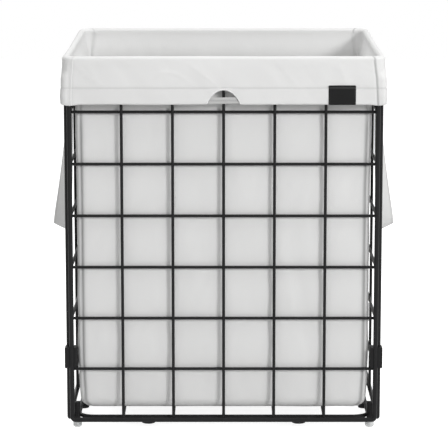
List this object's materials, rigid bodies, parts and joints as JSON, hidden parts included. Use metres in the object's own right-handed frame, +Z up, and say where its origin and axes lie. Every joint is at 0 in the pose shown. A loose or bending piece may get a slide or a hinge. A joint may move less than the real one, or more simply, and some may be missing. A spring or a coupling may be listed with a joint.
{
  "type": "two-bin laundry hamper",
  "caption": "Laundry hamper with two bins: a black wire frame on clear glides carries a removable fabric liner with a divider, a folded cuff and side straps.",
  "frame": {"origin": "on the floor, at the middle of the wire frame's footprint", "axes": "+Z up, +Y towards the rear, so the front with the notch and the patch faces -Y, +X to the right"},
  "size_m": [0.5866, 0.4013, 0.6286],
  "materials": {
    "frame": "satin powder coat",
    "clip": "fine matte",
    "glide": "clear, smooth",
    "bag": "plain woven, off-white",
    "strap": "folded tape, off-white",
    "patch": "matte, bare"
  },
  "bodies": {
    "frame": {"front_ring": "frame", "front_grid": "frame", "rear_ring": "frame", "rear_grid": "frame", "left_ring": "frame", "left_grid": "frame", "right_ring": "frame", "right_grid": "frame", "floor_ring": "frame", "floor_grid": "frame", "post_front_left": "frame", "glide_front_left": "glide", "corner_clip_front_left_lower": "clip", "corner_clip_front_left_upper": "clip", "floor_clip_front_left": "clip", "floor_clip_left_front": "clip", "post_front_right": "frame", "glide_front_right": "glide", "corner_clip_front_right_lower": "clip", "corner_clip_front_right_upper": "clip", "floor_clip_front_right": "clip", "floor_clip_right_front": "clip", "post_rear_left": "frame", "glide_rear_left": "glide", "corner_clip_rear_left_lower": "clip", "corner_clip_rear_left_upper": "clip", "floor_clip_rear_left": "clip", "floor_clip_left_rear": "clip", "post_rear_right": "frame", "glide_rear_right": "glide", "corner_clip_rear_right_lower": "clip", "corner_clip_rear_right_upper": "clip", "floor_clip_rear_right": "clip", "floor_clip_right_rear": "clip"},
    "liner": {"bag_front": "bag", "bag_rear": "bag", "bag_left": "bag", "bag_right": "bag", "bag_bottom_left": "bag", "bag_bottom_right": "bag", "bag_divider": "bag", "cuff_front": "bag", "cuff_rear": "bag", "cuff_left": "bag", "cuff_right": "bag", "notch_tape": "strap", "cuff_patch": "patch", "strap_left_tab_front": "strap", "strap_left_tab_rear": "strap", "strap_right_tab_front": "strap", "strap_right_tab_rear": "strap"},
    "strap_left": {"strap_left": "strap"},
    "strap_right": {"strap_right": "strap"}
  },
  "joints": [
    {"name": "liner_lift", "type": "slide", "parent": "frame", "child": "liner", "axis": [0, 0, 1], "range_m": [0, 0.62]},
    {"name": "strap_left_swing", "type": "hinge", "parent": "liner", "child": "strap_left", "pos_m": [-0.2698, 0, 0.547], "axis": [0, 1, 0], "range_deg": [0, 165]},
    {"name": "strap_right_swing", "type": "hinge", "parent": "liner", "child": "strap_right", "pos_m": [0.2698, 0, 0.547], "axis": [0, -1, 0], "range_deg": [0, 165]}
  ]
}
